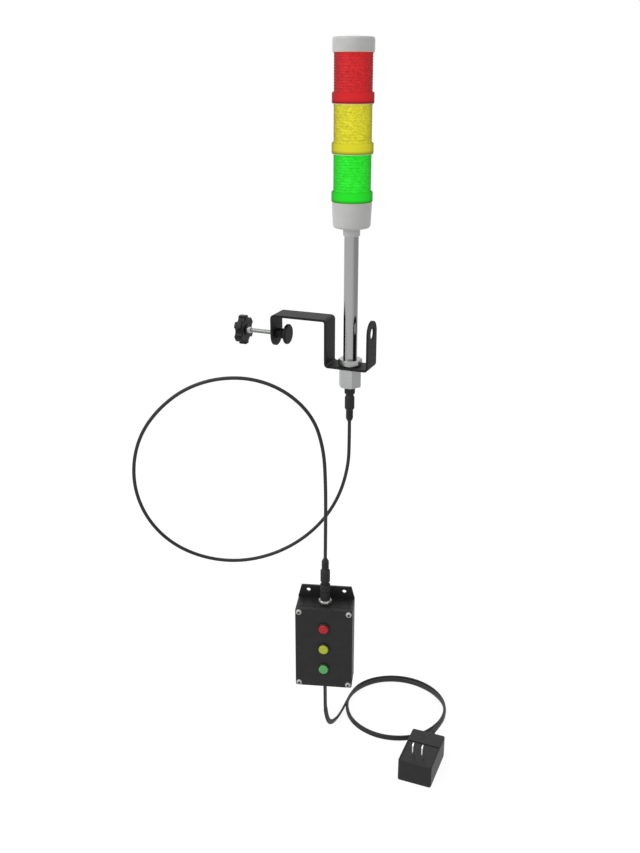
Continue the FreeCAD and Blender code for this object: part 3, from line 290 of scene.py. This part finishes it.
def lensMaterial(key):
    # polycarbonate, dyed through: colour that deepens at the column's sides, and a painted glow standing in
    # for light gathered from within, with flutes inside the wall that show as a fine lattice across the outer
    # ribs
    light, dark, ring = lens["dyes"][key]
    material, tree, shader = newMaterial("dyedPolycarbonatePaintedGlow_" + key, light, 0.36, IOR=1.58,
                                         Specular_IOR_Level=0.1, Coat_Weight=1.0, Coat_IOR=1.03,
                                         Coat_Roughness=0.2, Coat_Tint=colour("#d1d1d1"),
                                         Emission_Strength=lens["glow"])
    place = objectPoint(tree, (1, 1, 1), (-lens["axis"] * mm, 0, 0))
    parts = addNode(tree, "ShaderNodeSeparateXYZ", None, {0: place})
    cloud = surfaceNoise(tree, lens["clouding"], 3.0, objectPoint(tree, (1, 1, 1.6)))
    mixed = addNode(tree, "ShaderNodeMath", {"operation": "MULTIPLY_ADD", 1: lens["latticeShare"]},
                    {0: latticeOf(tree, parts), 2: cloud.outputs[0]})
    fluted = twoTone(tree, mixed.outputs[0], light, dark, 0.34, 0.68)
    flat = addNode(tree, "ShaderNodeVectorMath", {"operation": "MULTIPLY", 1: (1, 1, 0)}, {0: place})
    radius = addNode(tree, "ShaderNodeVectorMath", {"operation": "LENGTH"}, {0: flat.outputs[0]})
    outside = addNode(tree, "ShaderNodeMath", {"operation": "GREATER_THAN", 1: lens["ringStart"] * mm},
                      {0: radius.outputs["Value"]})
    skin = addNode(tree, "ShaderNodeMix", {"data_type": "RGBA", 7: colour(ring)},
                   {0: outside.outputs[0], 6: fluted})
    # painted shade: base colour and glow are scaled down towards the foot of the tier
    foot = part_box("lens_" + key)[0][2]
    paintedShadeTop = foot + lens["paintedShadeHeight"] * mm
    edge = addNode(tree, "ShaderNodeMapRange",
                   {"From Min": foot, "From Max": paintedShadeTop, "To Min": lens["paintedShadeLevel"]},
                   {0: parts.outputs["Z"]})
    shaded = addNode(tree, "ShaderNodeVectorMath", {"operation": "SCALE"},
                     {0: skin.outputs[2], "Scale": edge.outputs[0]})
    # the same colour, with its painted shade, feeds the painted glow
    tree.links.new(shaded.outputs[0], shader.inputs["Base Color"])
    tree.links.new(shaded.outputs[0], shader.inputs["Emission Color"])
    return material


def buttonMaterial(key, light, dark):
    # ABS, glossy, moulded in colour: a clean bright cap
    material, tree, shader = newMaterial("glossAbs_" + key, light, 0.3, IOR=1.52, Specular_IOR_Level=0.3)
    cloud = surfaceGrain(tree, shader, 1.5, 0.008, 2.0)
    tree.links.new(twoTone(tree, cloud.outputs[0], light, dark), shader.inputs["Base Color"])
    return material


def boardMaterial():
    # glass-filled epoxy board under green lacquer: its weave is drawn coarser than the real one, to show
    material, tree, shader = newMaterial("lacqueredEpoxyBoard", "#1d4a2a", 0.35, IOR=1.5)
    weave = addNode(tree, "ShaderNodeTexBrick", {"Scale": 1 / (3 * mm), "Color1": colour("#1d4a2a"),
                                                 "Color2": colour("#235634"), "Mortar": colour("#2f6a42")},
                    {"Vector": objectPoint(tree)})
    tree.links.new(weave.outputs["Color"], shader.inputs["Base Color"])
    return material


def insideMaterial(name, base, roughness, size, depth, **more):
    # plain finishes of pieces that stay inside the housings
    material, tree, shader = newMaterial(name, base, roughness, **more)
    surfaceGrain(tree, shader, size, depth)
    return material


def makeMaterials():
    made = {key + "_lens": lensMaterial(key) for key in lens["dyes"]}
    made["red_button"] = buttonMaterial("red", "#c61e26", "#b4181f")
    made["yellow_button"] = buttonMaterial("yellow", "#c2cc30", "#b4be2a")
    made["green_button"] = buttonMaterial("green", "#62be6c", "#56b062")

    # ABS, injection moulded in a lightly sparked tool: even pale grey with a soft sheen
    made["grey_plastic"] = grained("greyMouldedAbs", "#c9c9c8", 0.0, (0.35, 0.012), (0.34, 0.42),
                                   tones=(14, 3.0, "#cbcbca", "#c5c5c4"), IOR=1.52)

    # ABS, black, moulded in a fine-eroded tool: matte with a dusty bloom
    made["black_plastic"] = grained("blackMouldedAbs", "#1c1c1c", 0.0, (0.3, 0.015, 2.0), (0.42, 0.54),
                                    tones=(9, 4.0, "#1b1b1b", "#202020"), IOR=1.52, Specular_IOR_Level=0.27)

    # silicone, moulded and left undyed, in pale cream: its pale colour also stands as a painted highlight
    # between the tiers, and a faint emission paints a glow of the tiers through it
    made["paintedGlowSeal"] = grained("paleSiliconePaintedGlow", "#cfc8ae", 0.0, (0.5, 0.01), (0.44, 0.56), IOR=1.41,
                               Emission_Strength=0.1, Emission_Color=colour("#cfc8ae"))

    # stainless tube, drawn and polished: clear reflections with faint lines along it
    made["polished_steel"] = grained("polishedStainless", "#a2a2a2", 1.0, (0.5, 0.002, 2.0), (0.12, 0.20),
                                     (1, 1, 0.02))

    # steel, zinc plated: bright and a little cloudy
    made["plated_steel"] = grained("zincPlatedSteel", "#a6a8a6", 1.0, (1.2, 0.006, 4.0), (0.20, 0.34))

    # zinc alloy, die cast and tumbled: pale satin metal
    made["cast_zinc"] = grained("tumbledZincAlloy", "#b4b6b5", 1.0, (0.6, 0.02, 4.0), (0.36, 0.48))

    # steel strip, black powder coat: soft orange peel and a low gloss
    made["black_steel"] = grained("blackPowderCoat", "#1b1b1b", 0.0, (0.9, 0.03, 2.0), (0.49, 0.61), IOR=1.5,
                                  Specular_IOR_Level=0.2)

    # nitrile rubber, moulded: dull, slightly uneven
    made["black_rubber"] = grained("nitrileRubber", "#212121", 0.0, (0.7, 0.02, 3.0), (0.56, 0.68), IOR=1.5,
                                   Specular_IOR_Level=0.35)

    # soft PVC, extruded: smooth, with a faint unevenness in its gloss
    made["lead_jacket"] = grained("extrudedPvc", "#1e1e1e", 0.0, (0.8, 0.01, 2.0), (0.40, 0.52), IOR=1.53,
                                  Specular_IOR_Level=0.35)

    # phenolic resin, compression moulded: deep black with a slow, soft gloss
    made["knobResin"] = grained("phenolicResin", "#111111", 0.0, (1.4, 0.012, 3.0), (0.28, 0.42), IOR=1.6,
                                Specular_IOR_Level=0.15)

    # steel, nickel plated over a blasted surface: pale and even, with no sharp reflections
    made["satinNickel"] = grained("satinNickelPlate", "#d6d6d3", 1.0, (0.5, 0.008, 3.0), (0.44, 0.56))

    # steel screws, zinc plated and bead blasted: flat light grey that doesn't mirror anything
    made["screwHead"] = grained("blastedZincPlate", "#b6b6b4", 1.0, (0.4, 0.01, 3.0), (0.6, 0.76))

    # painted shade: the faces inside the screws' hex sockets are coloured nearly black, for the shade in the
    # recess
    made["screwSocket"] = grained("socketPaintedShade", "#2a2826", 1.0, (0.4, 0.01, 3.0), (0.5, 0.7))

    # brass blades, nickel plated and stamped: bright with fine lines up the blade
    made["blade_metal"] = grained("nickelPlatedBrass", "#dedddb", 1.0, (0.4, 0.004, 2.0), (0.16, 0.28),
                                  (1, 1, 0.1))

    # silicone-capped emitters: milky yellow gel
    made["emitter"] = insideMaterial("siliconeEmitter", "#e6dca0", 0.3, 0.6, 0.01, IOR=1.41)

    # annealed copper wire: warm and dull
    made["copper"] = insideMaterial("annealedCopper", "#c8794a", 0.4, 0.4, 0.006, metallic=1.0)

    # white ABS decks inside the tiers: bright and even, so that they throw the light outwards
    made["deck_plastic"] = insideMaterial("whiteMouldedAbs", "#cfcfcc", 0.45, 0.4, 0.012, IOR=1.52)

    made["circuit_board"] = boardMaterial()
    return made


materials = makeMaterials()
slots = {entry["node"]: entry["material_slot"] for entry in frame["record"]["subparts"]}
# three pieces have a finish of their own that the record's slots don't name
slots.update({"tier_seals": "paintedGlowSeal", "clamp_knob": "knobResin", "box_socket_nut": "satinNickel"})
for name, obj in frame["nodes"].items():
    obj.data.materials.clear()
    obj.data.materials.append(materials[slots[name]])
print("materials done,", len(materials))


def finishMesh(name, shape, slot, smooth=35):
    mesh = bpy.data.meshes.new(name)
    shape.to_mesh(mesh)
    shape.free()
    obj = bpy.data.objects.new(name, mesh)
    scene.collection.objects.link(obj)
    mesh.materials.append(materials[slot])
    mesh.shade_smooth()
    mesh.set_sharp_from_angle(angle=math.radians(smooth))
    return obj


signalLead = {
    "diameter": 4.6,  # mm
    "route": [
        (66, 0, -134.4), (66.2, 0, -160), (65.6, -1, -199), (55, -7, -243), (34, -19, -281), (3, -34, -311),
        (-33, -53, -329), (-73, -73, -335), (-113, -93, -326), (-147, -112, -303), (-172, -126, -268),
        (-184, -135, -225), (-182, -139, -180), (-168, -138, -137), (-142, -132, -101), (-108, -122, -73),
        (-67, -110, -58), (-24, -96, -58), (16, -84, -75), (46, -74, -108), (58, -70.6, -151),
        (60.2, -70, -197), (60.5, -70, -243), (60, -70, -304.3)],
}

powerLead = {
    "width": 7.4,  # mm, stands on edge
    "thickness": 3.4,
    "groove": 0.5,
    # how far on in mm, and how many degrees the upper edge leans in over the loop there
    "leans": [(0, 0), (75, 0), (100, 24), (140, 24), (190, 12), (820, 12), (870, 0)],
    "route": [
        (60, -70, -499.5), (60.5, -70.4, -518), (60.8, -70.6, -546), (62.5, -60, -574.5),
        (65.3, -37, -582.3), (65.2, -6, -582.3), (63.4, 21.5, -582.3), (66.6, 49.5, -582.3),
        (81.5, 72.5, -582.3), (105, 88.5, -582.3), (132.5, 95, -582.3), (160.5, 91, -582.3),
        (185.5, 76.5, -582.3), (203, 53.5, -582.3), (208.3, 25.5, -582.3), (203, -2, -582.3),
        (188, -28, -582.3), (164.5, -44, -582.3), (136, -50.5, -582.3), (107.5, -45, -582.3),
        (83.5, -29.5, -582.3), (67.8, -4.5, -582.3), (63.2, 22.5, -582.3), (71.5, 50, -582.3),
        (89, 72.5, -582.3), (114, 86, -582.3), (142, 89, -582.3), (169.5, 80.5, -581.6),
        (189.5, 63.5, -578.6), (205, 40, -573.2), (212, 12, -571.2), (209.5, -14, -570.6),
        (206.5, -28.95, -570.3)],
}


def routeCurve(name, route):
    curve = bpy.data.curves.new(name, "CURVE")
    curve.dimensions = "3D"
    curve.resolution_u = 14
    spline = curve.splines.new("NURBS")
    spline.points.add(len(route) - 1)
    for point, place in zip(spline.points, route):
        point.co = (place[0] * mm, place[1] * mm, place[2] * mm, 1)
    spline.order_u = 3
    spline.use_endpoint_u = True
    obj = bpy.data.objects.new(name, curve)
    scene.collection.objects.link(obj)
    return obj


def pathOf(obj):
    mesh = bpy.data.meshes.new_from_object(obj)
    points = [vertex.co.copy() for vertex in mesh.vertices]
    bpy.data.meshes.remove(mesh)
    return points


def lengthOf(points):
    return sum((b - a).length for a, b in zip(points, points[1:]))


def makeSignalLead():
    lead = routeCurve("signalLead", signalLead["route"])
    length = lengthOf(pathOf(lead))
    lead.data.bevel_depth = signalLead["diameter"] / 2 * mm
    lead.data.bevel_resolution = 6
    lead.data.use_fill_caps = True
    lead.data.materials.append(materials["lead_jacket"])
    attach(lead, "stand")
    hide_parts("signal_lead")
    print("signal lead", round(length, 4), "m")
    return lead, length


def twinOutline(width, thickness, groove):
    # two round cores side by side with a groove between them
    radius = thickness / 2
    reach = width / 2 - radius
    outline = []
    steps = 9
    flank = math.radians(12)
    for side in (1, -1):
        for i in range(steps):
            angle = -math.pi / 2 + flank + (math.pi - 2 * flank) * i / (steps - 1)
            outline.append((side * (reach + radius * math.cos(angle)), side * radius * math.sin(angle)))
        outline.append((0.0, side * (radius - groove)))
    return outline


def leanAt(gone):
    leans = powerLead["leans"]
    for (start, before), (end, after) in zip(leans, leans[1:]):
        if gone <= end:
            return before + (after - before) * (gone - start) / (end - start)
    return leans[-1][1]


def makePowerLead():
    guide = routeCurve("powerLeadRoute", powerLead["route"])
    points = pathOf(guide)
    bpy.data.objects.remove(guide)
    outline = twinOutline(powerLead["width"], powerLead["thickness"], powerLead["groove"])
    across = Vector((1, 0, 0))
    shape = bmesh.new()
    rings = []
    gone = 0.0
    for i, point in enumerate(points):
        along = (points[min(i + 1, len(points) - 1)] - points[max(i - 1, 0)]).normalized()
        # the thin way lies level, and where the lead drops it keeps the way it had
        level = Vector((0, 0, 1)).cross(along)
        if level.length > 0.12:
            level.normalize()
            across = level if level.dot(across) > 0 else -level
        across = (across - along * across.dot(along)).normalized()
        gone += (point - points[max(i - 1, 0)]).length
        sideways = Matrix.Rotation(math.radians(leanAt(gone / mm)), 3, along) @ across
        upward = along.cross(sideways)
        rings.append([shape.verts.new(point + upward * (a * mm) + sideways * (b * mm)) for a, b in outline])
    count = len(outline)
    for first, second in zip(rings, rings[1:]):
        for k in range(count):
            shape.faces.new((first[k], first[(k + 1) % count], second[(k + 1) % count], second[k]))
    shape.faces.new(rings[0][::-1])
    shape.faces.new(rings[-1])
    bmesh.ops.recalc_face_normals(shape, faces=shape.faces)
    lead = finishMesh("powerLead", shape, "lead_jacket")
    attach(lead, "stand")
    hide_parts("power_lead")


lead, leadLength = makeSignalLead()
makePowerLead()
print("leads done")


def turnedShape(shape, profile, steps, place, shapeRadius=None, closed=False):
    # profile holds (radius, height) in mm; shapeRadius changes the radius by ring number and angle
    rings = []
    for number, (radius, height) in enumerate(profile):
        ring = []
        for k in range(steps):
            angle = 2 * math.pi * k / steps
            reach = shapeRadius(number, angle, radius) if shapeRadius else radius
            spot = Vector((reach * math.cos(angle) * mm, reach * math.sin(angle) * mm, height * mm))
            ring.append(shape.verts.new(place @ spot))
        rings.append(ring)
    pairs = list(zip(rings, rings[1:])) + ([(rings[-1], rings[0])] if closed else [])
    for lower, upper in pairs:
        for k in range(steps):
            shape.faces.new((lower[k], lower[(k + 1) % steps], upper[(k + 1) % steps], upper[k]))
    if not closed:
        shape.faces.new(rings[0][::-1])
        shape.faces.new(rings[-1])


def placed(across, out, up, turn=None):
    return Matrix.Translation(Vector((across, out, up)) * mm) @ (turn or Matrix())


clampRod = {
    "start": -90.2,  # mm along X, inside the knob
    "length": 68.4,
    "height": -25.0,
    "diameter": 5.8,
    "pitch": 1.0,
    "threadDepth": 0.55,
    "threadRunOut": 1.2,
    "insertRoot": 8.2,  # where the knob's metal insert starts, inside the knob
    "insertStart": 11.2,  # where it leaves the knob
    "insertReach": 5.0,
    "insertDiameter": 8.2,
}


def makeClampRod():
    # one helical strip, its rows lying along the thread, with flat ends
    steps, perPitch = 24, 6
    crest = clampRod["diameter"] / 2
    root = crest - clampRod["threadDepth"]
    pitch = clampRod["pitch"]
    length = clampRod["length"]
    lift = (0, 0, 0.5, 1, 1, 0.5)
    count = int(length / pitch * perPitch) + 2 * perPitch
    shape = bmesh.new()
    rows = []
    for j in range(-perPitch, count):
        row = []
        for k in range(steps):
            along = min(max((j / perPitch + k / steps) * pitch, 0.0), length)
            inside = min(along, length - along)
            radius = root + (crest - root) * lift[j % perPitch] * min(1.0, inside / clampRod["threadRunOut"])
            angle = 2 * math.pi * k / steps
            row.append(shape.verts.new(Vector((clampRod["start"] + along, radius * math.cos(angle),
                                               clampRod["height"] + radius * math.sin(angle))) * mm))
        rows.append(row)
    for j in range(len(rows) - 1):
        for k in range(steps - 1):
            shape.faces.new((rows[j][k], rows[j][k + 1], rows[j + 1][k + 1], rows[j + 1][k]))
        if j + perPitch + 1 < len(rows):
            shape.faces.new((rows[j][steps - 1], rows[j + perPitch][0], rows[j + perPitch + 1][0],
                             rows[j + 1][steps - 1]))
    bmesh.ops.remove_doubles(shape, verts=shape.verts, dist=0.002 * mm)
    bmesh.ops.dissolve_degenerate(shape, edges=shape.edges, dist=0.002 * mm)
    bmesh.ops.holes_fill(shape, edges=[edge for edge in shape.edges if edge.is_boundary])
    # the metal insert's collar, where the rod leaves the knob
    lying = placed(clampRod["start"], 0, clampRod["height"], Matrix.Rotation(math.pi / 2, 4, "Y"))
    collar = clampRod["insertDiameter"] / 2
    start = clampRod["insertRoot"]
    end = clampRod["insertStart"] + clampRod["insertReach"]
    bore = root - 0.2
    profile = [(bore, start), (collar, start), (collar, end - 0.5), (collar - 0.5, end), (bore, end)]
    turnedShape(shape, profile, 36, lying, closed=True)
    bmesh.ops.recalc_face_normals(shape, faces=shape.faces)
    rod = finishMesh("threadedRod", shape, "plated_steel", 50)
    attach(rod, "clamp_screw")
    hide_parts("clamp_rod")


plug = {
    "nutDiameter": 13.8,  # mm
    "nutLength": 10.5,
    "knurls": 28,
    "knurlDepth": 0.4,
    "shellDepth": 1.5,  # of the nut's lip round the neck
    "bore": 12.0,
    "neckBore": 10.6,
    "neckDiameter": 10.4,
    "neckStart": 8.5,  # inside the nut
    "shoulder": 1.2,
    "gripDiameter": 12.8,
    "gripStart": 14.5,
    "gripLength": 16.5,
    "gripFlutes": 14,
    "fluteDepth": 0.45,
    "reliefDiameter": 9.7,
    "reliefLength": 12.0,
    "reliefGrooves": 4,
    "grooveDepth": 0.7,
    "tipShoulder": 2.2,
    "tipLength": 4.5,
    "leadDiameter": signalLead["diameter"],
}


def makePlugNut(prefix, place):
    radius = plug["nutDiameter"] / 2
    bore, neckBore = plug["bore"] / 2, plug["neckBore"] / 2
    low = -plug["nutLength"]
    lip = low + plug["shellDepth"]
    profile = [(bore, 0), (radius - 0.7, 0), (radius - 0.2, -0.5), (radius, -1.1), (radius, low + 1.6),
               (radius - 0.2, low + 0.8), (radius - 0.9, low), (neckBore, low), (neckBore, lip), (bore, lip)]
    knurlRings = (3, 4)

    def knurled(number, angle, reach):
        if number in knurlRings:
            return reach - plug["knurlDepth"] * (0.5 + 0.5 * math.cos(angle * plug["knurls"])) ** 0.6
        return reach

    shape = bmesh.new()
    turnedShape(shape, profile, plug["knurls"] * 6, place, knurled, closed=True)
    bmesh.ops.recalc_face_normals(shape, faces=shape.faces)
    nut = finishMesh(prefix + "PlugNut", shape, "black_plastic", 40)
    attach(nut, "stand")
    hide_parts(prefix + "_plug_nut")
    return nut


def makePlugBody(prefix, place):
    neck, grip, relief = plug["neckDiameter"] / 2, plug["gripDiameter"] / 2, plug["reliefDiameter"] / 2
    shoulder = plug["shoulder"]
    top = -plug["gripStart"]
    foot = top - plug["gripLength"]
    profile = [(neck, -plug["neckStart"]), (neck, top + shoulder), (grip - 0.5, top + 0.2), (grip, top - 0.6),
               (grip, top - 2.6), (grip, foot + 2.2), (grip, foot + 0.6), (grip - 0.4, foot),
               (relief, foot - shoulder)]
    flutedRings = (4, 5)
    # soft ring grooves round the strain relief, where the real one bends
    pitch = plug["reliefLength"] / plug["reliefGrooves"]
    groove = relief - plug["grooveDepth"]
    for number in range(plug["reliefGrooves"]):
        start = foot - shoulder - pitch * number
        profile += [(relief, start - pitch * 0.45), (groove, start - pitch * 0.6),
                    (groove, start - pitch * 0.82), (relief, start - pitch)]
    end = foot - shoulder - plug["reliefLength"]
    profile += [(relief - 1.1, end - plug["tipShoulder"]),
                (plug["leadDiameter"] / 2 + 0.2, end - plug["tipLength"])]

    def flutes(number, angle, reach):
        if number in flutedRings:
            return reach - plug["fluteDepth"] * max(0.0, math.cos(angle * plug["gripFlutes"])) ** 0.7
        return reach

    shape = bmesh.new()
    turnedShape(shape, profile, plug["gripFlutes"] * 8, place, flutes)
    bmesh.ops.recalc_face_normals(shape, faces=shape.faces)
    body = finishMesh(prefix + "PlugBody", shape, "black_rubber", 40)
    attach(body, "stand")
    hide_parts(prefix + "_plug_body")
    return body


def makePlug(prefix, place):
    return [makePlugNut(prefix, place), makePlugBody(prefix, place)]


box = {
    "place": (60.0, -70.0, -372.0),  # mm, the middle of its top edge
    "turn": 15.5,
    "front": -18.25,
    "screwAcross": 33.4,
    "screwUps": (-5.1, -115.4),
    "headDiameter": 8.0,
    "headHeight": 2.4,
    "shankDiameter": 3.8,
    "shankLength": 16.0,
    "hexFlats": 3.0,
    "plugSeat": 19.0,
}
boxPlace = placed(*box["place"], Matrix.Rotation(math.radians(box["turn"]), 4, "Z"))


def paintSocketShade(screws):
    # painted shade on the faces in front of the cover and within the hexagon's corners
    screws.data.materials[0] = materials["screwHead"]
    screws.data.materials.append(materials["screwSocket"])
    corner = box["hexFlats"] * 0.59
    for face in screws.data.polygons:
        across, out, up = (boxPlace.inverted() @ face.center) / mm
        nearest = min(box["screwUps"], key=lambda value: abs(value - up))
        fromAxis = Vector((abs(across) - box["screwAcross"], up - nearest)).length
        if fromAxis < corner and out < box["front"] - 0.5:
            face.material_index = 1


def makeCoverScrews():
    # button heads with a hexagon socket
    head, shank, high = box["headDiameter"] / 2, box["shankDiameter"] / 2, box["headHeight"]
    socket = box["hexFlats"] / 2
    tip = -box["shankLength"]
    profile = [(shank - 0.4, tip), (shank, tip + 0.4), (shank, 0), (head - 0.15, 0), (head, 0.2),
               (head - 0.25, high * 0.42), (head * 0.84, high * 0.74), (head * 0.66, high * 0.94),
               (head * 0.52, high), (socket + 0.15, high), (socket, high - 0.2), (socket, high * 0.35),
               (0.2, high * 0.2)]
    socketRings = (10, 11)

    def hexagon(number, angle, reach):
        if number in socketRings:
            return reach / math.cos((angle + math.pi / 6) % (math.pi / 3) - math.pi / 6)
        return reach

    shape = bmesh.new()
    for across in (-box["screwAcross"], box["screwAcross"]):
        for up in box["screwUps"]:
            forward = placed(across, box["front"], up, Matrix.Rotation(math.pi / 2, 4, "X"))
            turnedShape(shape, profile, 36, boxPlace @ forward, hexagon)
    bmesh.ops.recalc_face_normals(shape, faces=shape.faces)
    screws = finishMesh("coverScrews", shape, "plated_steel", 38)
    paintSocketShade(screws)
    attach(screws, "stand")
    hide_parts("cover_screws")


makeClampRod()
plugs = makePlug("upper", placed(66, 0, -85.7))
plugs += makePlug("lower", boxPlace @ placed(0, 0, box["plugSeat"], Matrix.Rotation(math.pi, 4, "X")))
makeCoverScrews()
print("rod, plugs and screws done")
